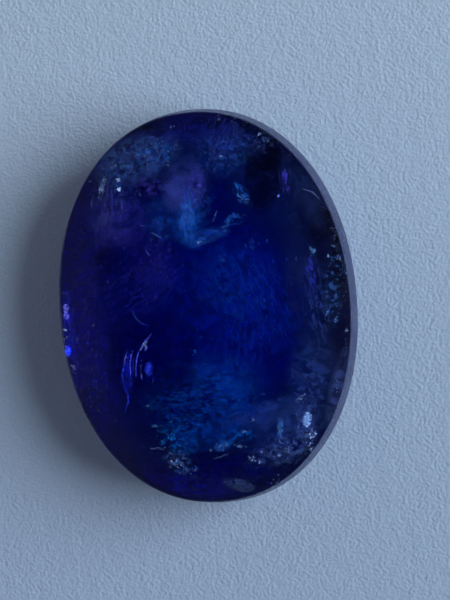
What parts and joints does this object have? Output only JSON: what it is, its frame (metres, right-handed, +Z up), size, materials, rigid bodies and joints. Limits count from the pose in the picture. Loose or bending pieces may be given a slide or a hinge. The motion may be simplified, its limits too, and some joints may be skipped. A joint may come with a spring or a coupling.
{
  "type": "oval tanzanite cabochon",
  "caption": "Polished oval tanzanite: a see-through violet-blue dome with cloudy flaws inside, on a low girdle wall and a shallow back with a small flat spot that it rests on.",
  "frame": {"origin": "centre of the small flat spot that the stone rests on", "axes": "+Z points up through the dome, +Y runs along the oval's length and +X along its width"},
  "size_m": [0.0122, 0.016, 0.0049],
  "materials": {
    "tanzanite": "polished, clear violet-blue crystal"
  },
  "bodies": {
    "root": {"tanzanite": "tanzanite"}
  },
  "joints": []
}
